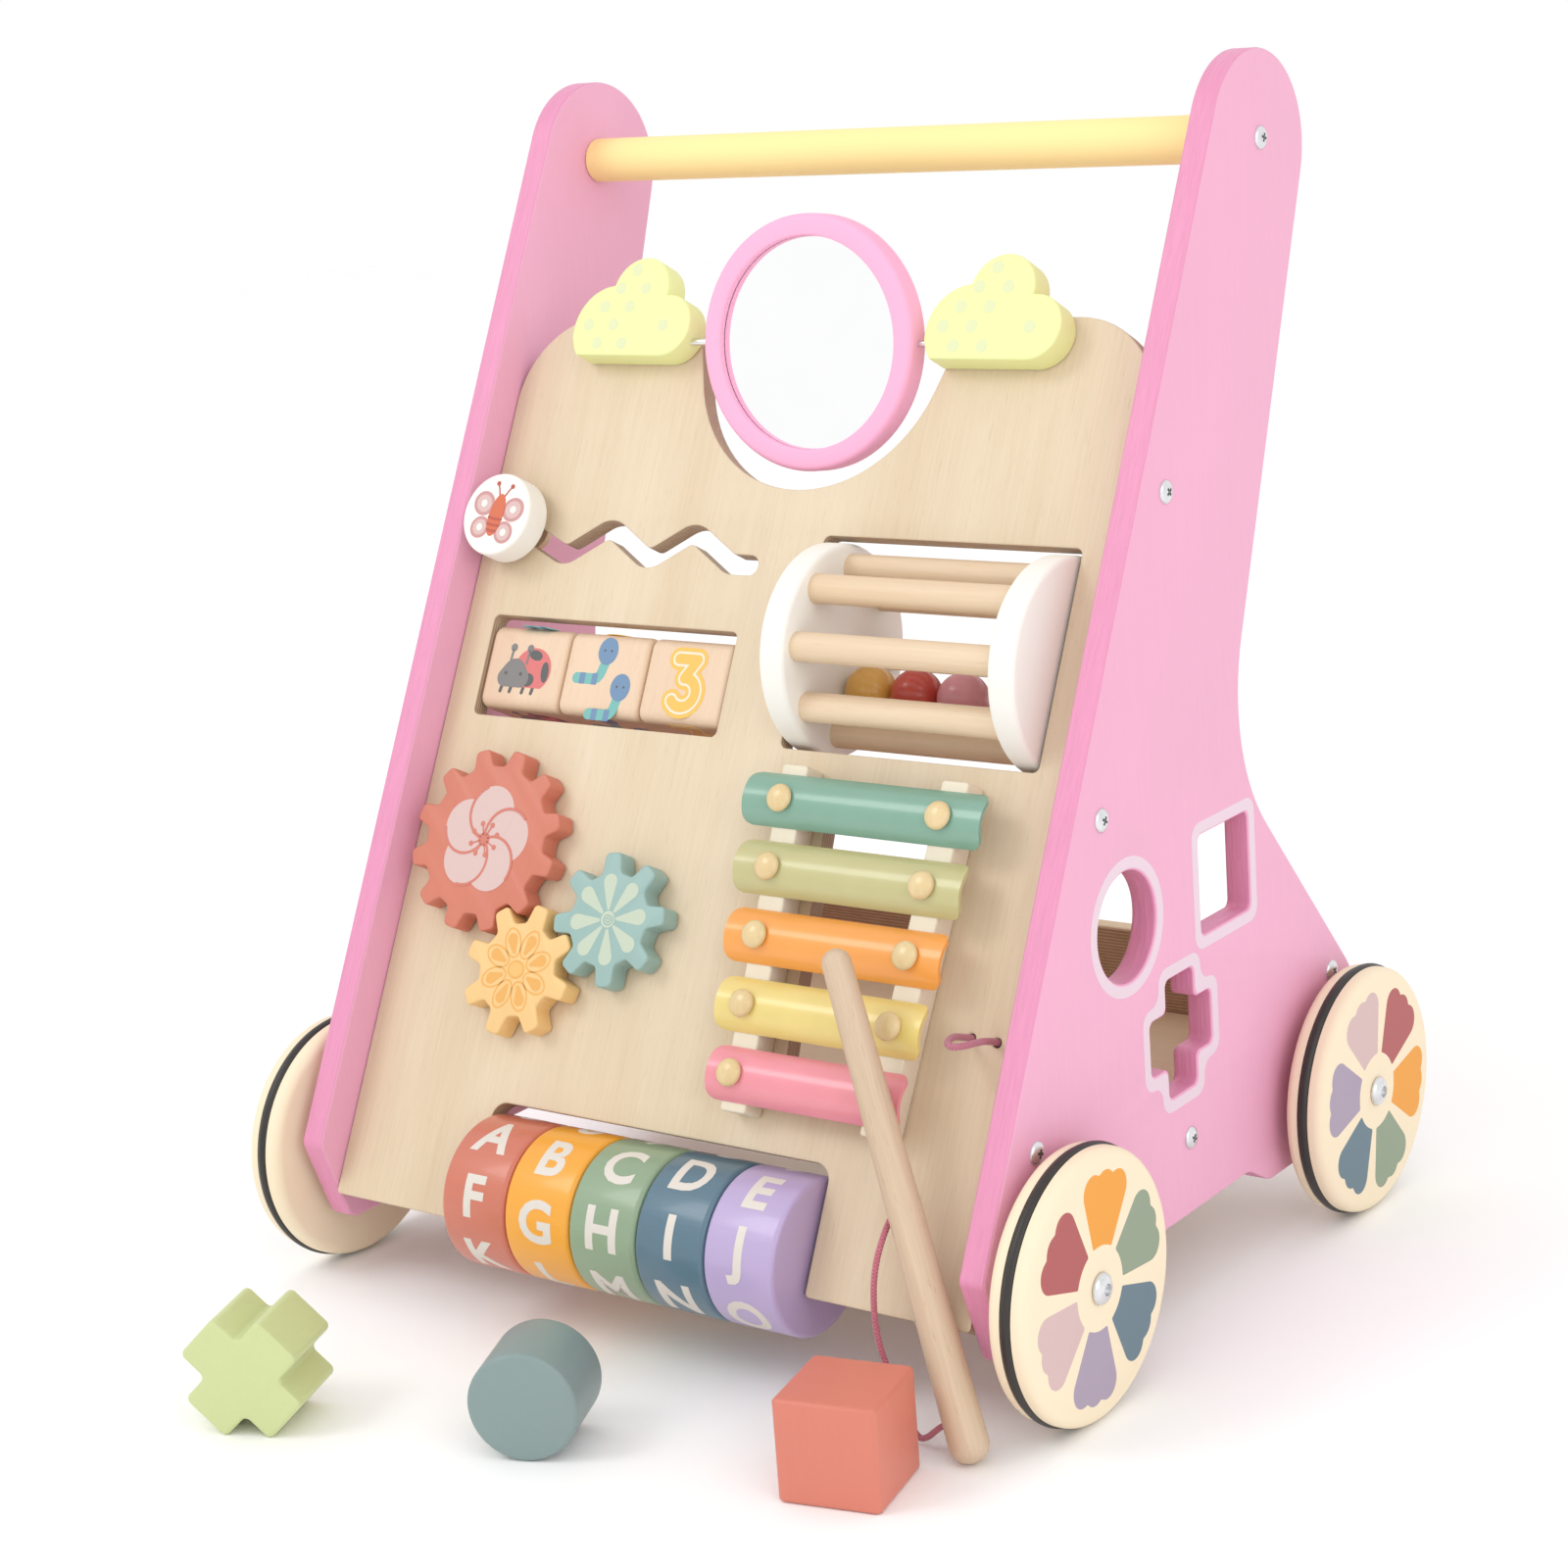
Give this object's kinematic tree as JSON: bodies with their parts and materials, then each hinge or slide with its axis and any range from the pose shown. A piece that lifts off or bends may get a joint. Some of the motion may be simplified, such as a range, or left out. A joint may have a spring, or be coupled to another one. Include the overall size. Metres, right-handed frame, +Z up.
{
  "type": "baby walker",
  "caption": "Wooden push-along baby walker with a leaning activity panel, a shape-sorter side, rubber-ringed wheels and a storage tray.",
  "frame": {"origin": "middle of the footprint on the floor", "axes": "+Z up, -Y the way the walker rolls, +X right as seen from the front"},
  "size_m": [0.3936, 0.4536, 0.4865],
  "materials": {
    "pink_paint": "satin paint on plywood",
    "ring_paint": "satin paint on wood",
    "birch_ply": "clear matt lacquer",
    "beech": "clear matt lacquer",
    "wheel_wood": "clear satin lacquer with printed petals",
    "rubber": "smooth black",
    "steel": "zinc plated",
    "handle_paint": "satin paint",
    "white_paint": "satin paint",
    "cloud_paint": "satin paint",
    "mirror": "silvered acrylic",
    "cord": "braided cotton",
    "bar_paint_1": "gloss enamel",
    "bar_paint_2": "gloss enamel",
    "bar_paint_3": "gloss enamel",
    "bar_paint_4": "gloss enamel",
    "bar_paint_5": "gloss enamel",
    "roller_paint_1": "satin paint",
    "roller_paint_2": "satin paint",
    "roller_paint_3": "satin paint",
    "roller_paint_4": "satin paint",
    "roller_paint_5": "satin paint",
    "red_gear_paint": "satin paint with a printed flower",
    "yellow_gear_paint": "satin paint with a printed flower",
    "blue_gear_paint": "satin paint with a printed flower",
    "ball_paint_1": "satin paint",
    "ball_paint_2": "satin paint",
    "ball_paint_3": "satin paint",
    "square_paint": "satin paint",
    "round_paint": "satin paint",
    "cross_paint": "satin paint"
  },
  "bodies": {
    "frame": {"left_side_panel": "pink_paint", "right_side_panel": "pink_paint", "front_panel": "birch_ply", "floor_board": "birch_ply", "rear_board": "birch_ply", "handle": "handle_paint", "left_cloud": "cloud_paint", "right_cloud": "cloud_paint", "left_mirror_pin": "steel", "right_mirror_pin": "steel", "left_chime_rail": "beech", "right_chime_rail": "beech", "chime_bar_1": "bar_paint_1", "chime_bar_2": "bar_paint_2", "chime_bar_3": "bar_paint_3", "chime_bar_4": "bar_paint_4", "chime_bar_5": "bar_paint_5", "mallet_loop": "cord", "mallet_cord": "cord", "block_rod": "steel", "roller_rod": "steel", "left_rattle_pin": "steel", "right_rattle_pin": "steel", "rod_bracket": "beech", "front_left_wheel_bolt": "steel", "front_right_wheel_bolt": "steel", "rear_left_wheel_bolt": "steel", "rear_right_wheel_bolt": "steel"},
    "front_left_wheel_set": {"front_left_wheel": "wheel_wood", "front_left_tyre": "rubber"},
    "front_right_wheel_set": {"front_right_wheel": "wheel_wood", "front_right_tyre": "rubber"},
    "rear_left_wheel_set": {"rear_left_wheel": "wheel_wood", "rear_left_tyre": "rubber"},
    "rear_right_wheel_set": {"rear_right_wheel": "wheel_wood", "rear_right_tyre": "rubber"},
    "picture_block_1_body": {"picture_block_1": "beech"},
    "picture_block_2_body": {"picture_block_2": "beech"},
    "picture_block_3_body": {"picture_block_3": "beech"},
    "letter_roller_1_body": {"letter_roller_1": "roller_paint_1"},
    "letter_roller_2_body": {"letter_roller_2": "roller_paint_2"},
    "letter_roller_3_body": {"letter_roller_3": "roller_paint_3"},
    "letter_roller_4_body": {"letter_roller_4": "roller_paint_4"},
    "letter_roller_5_body": {"letter_roller_5": "roller_paint_5"},
    "rattle_drum": {"rattle_left_disc": "white_paint", "rattle_right_disc": "white_paint"},
    "rattle_ball_1_body": {"rattle_ball_1": "ball_paint_1"},
    "rattle_ball_2_body": {"rattle_ball_2": "ball_paint_2"},
    "rattle_ball_3_body": {"rattle_ball_3": "ball_paint_3"},
    "mirror_frame": {"mirror_ring": "ring_paint", "mirror": "mirror"},
    "red_gear_body": {"red_gear": "red_gear_paint"},
    "yellow_gear_body": {"yellow_gear": "yellow_gear_paint"},
    "blue_gear_body": {"blue_gear": "blue_gear_paint"},
    "slider_stem_body": {"slider_stem": "beech"},
    "slider_knob_body": {"slider_knob": "white_paint"},
    "mallet_body": {"mallet": "beech"},
    "square_shape_body": {"square_shape": "square_paint"},
    "round_shape_body": {"round_shape": "round_paint"},
    "cross_shape_body": {"cross_shape": "cross_paint"}
  },
  "joints": [
    {"name": "front_left_wheel_spin", "type": "hinge", "parent": "frame", "child": "front_left_wheel_set", "pos_m": [-0.1848, -0.05662, 0.0532], "axis": [1, 0, 0], "continuous": true},
    {"name": "front_right_wheel_spin", "type": "hinge", "parent": "frame", "child": "front_right_wheel_set", "pos_m": [0.1848, -0.05662, 0.0532], "axis": [1, 0, 0], "continuous": true},
    {"name": "rear_left_wheel_spin", "type": "hinge", "parent": "frame", "child": "rear_left_wheel_set", "pos_m": [-0.1848, 0.17358, 0.0532], "axis": [1, 0, 0], "continuous": true},
    {"name": "rear_right_wheel_spin", "type": "hinge", "parent": "frame", "child": "rear_right_wheel_set", "pos_m": [0.1848, 0.17358, 0.0532], "axis": [1, 0, 0], "continuous": true},
    {"name": "picture_block_1_spin", "type": "hinge", "parent": "frame", "child": "picture_block_1_body", "pos_m": [-0.1215, 0.03155, 0.24086], "axis": [1, 0, 0], "continuous": true},
    {"name": "picture_block_2_spin", "type": "hinge", "parent": "frame", "child": "picture_block_2_body", "pos_m": [-0.0783, 0.03155, 0.24086], "axis": [1, 0, 0], "continuous": true},
    {"name": "picture_block_3_spin", "type": "hinge", "parent": "frame", "child": "picture_block_3_body", "pos_m": [-0.0351, 0.03155, 0.24086], "axis": [1, 0, 0], "continuous": true},
    {"name": "letter_roller_1_spin", "type": "hinge", "parent": "frame", "child": "letter_roller_1_body", "pos_m": [-0.0664, -0.07854, 0.05285], "axis": [1, 0, 0], "continuous": true},
    {"name": "letter_roller_2_spin", "type": "hinge", "parent": "frame", "child": "letter_roller_2_body", "pos_m": [-0.0332, -0.07854, 0.05285], "axis": [1, 0, 0], "continuous": true},
    {"name": "letter_roller_3_spin", "type": "hinge", "parent": "frame", "child": "letter_roller_3_body", "pos_m": [0, -0.07854, 0.05285], "axis": [1, 0, 0], "continuous": true},
    {"name": "letter_roller_4_spin", "type": "hinge", "parent": "frame", "child": "letter_roller_4_body", "pos_m": [0.0332, -0.07854, 0.05285], "axis": [1, 0, 0], "continuous": true},
    {"name": "letter_roller_5_spin", "type": "hinge", "parent": "frame", "child": "letter_roller_5_body", "pos_m": [0.0664, -0.07854, 0.05285], "axis": [1, 0, 0], "continuous": true},
    {"name": "rattle_spin", "type": "hinge", "parent": "frame", "child": "rattle_drum", "pos_m": [0.0801, 0.03462, 0.26237], "axis": [1, 0, 0], "continuous": true},
    {"name": "rattle_ball_1_spin", "type": "hinge", "parent": "frame", "child": "rattle_ball_1_body", "pos_m": [0.0445, 0.03462, 0.24647], "axis": [1, 0, 0], "continuous": true},
    {"name": "rattle_ball_2_spin", "type": "hinge", "parent": "frame", "child": "rattle_ball_2_body", "pos_m": [0.0665, 0.03462, 0.24647], "axis": [1, 0, 0], "continuous": true},
    {"name": "rattle_ball_3_spin", "type": "hinge", "parent": "frame", "child": "rattle_ball_3_body", "pos_m": [0.0885, 0.03462, 0.24647], "axis": [1, 0, 0], "continuous": true},
    {"name": "mirror_spin", "type": "hinge", "parent": "frame", "child": "mirror_frame", "pos_m": [-0.0015, 0.07519, 0.38036], "axis": [1, 0, 0], "continuous": true},
    {"name": "red_gear_spin", "type": "hinge", "parent": "frame", "child": "red_gear_body", "pos_m": [-0.11232, -0.02084, 0.18124], "axis": [0, -0.8874, 0.4611], "continuous": true},
    {"name": "yellow_gear_spin", "type": "hinge", "parent": "frame", "child": "yellow_gear_body", "pos_m": [-0.08, -0.04469, 0.13533], "axis": [0, -0.8874, 0.4611], "continuous": true},
    {"name": "blue_gear_spin", "type": "hinge", "parent": "frame", "child": "blue_gear_body", "pos_m": [-0.03861, -0.03277, 0.15828], "axis": [0, -0.8874, 0.4611], "continuous": true},
    {"name": "slider_slide", "type": "slide", "parent": "frame", "child": "slider_stem_body", "axis": [0.9165, -0.1844, -0.3549], "range_m": [0, 0.027]},
    {"name": "slider_knob_spin", "type": "hinge", "parent": "slider_stem_body", "child": "slider_knob_body", "pos_m": [-0.14, 0.04324, 0.30455], "axis": [0, -0.8874, 0.4611], "continuous": true},
    {"name": "mallet_lift", "type": "slide", "parent": "frame", "child": "mallet_body", "axis": [0, -0.5, 0.866], "range_m": [0, 0.1]},
    {"name": "square_shape_lift", "type": "slide", "parent": "frame", "child": "square_shape_body", "axis": [0, -0.5, 0.866], "range_m": [0, 0.1]},
    {"name": "round_shape_lift", "type": "slide", "parent": "frame", "child": "round_shape_body", "axis": [0, -0.5, 0.866], "range_m": [0, 0.1]},
    {"name": "cross_shape_lift", "type": "slide", "parent": "frame", "child": "cross_shape_body", "axis": [0, -0.5, 0.866], "range_m": [0, 0.1]}
  ],
  "couplings": [
    {"joint": "yellow_gear_spin", "follows": "red_gear_spin", "ratio": -1.5},
    {"joint": "blue_gear_spin", "follows": "red_gear_spin", "ratio": 1.5}
  ]
}
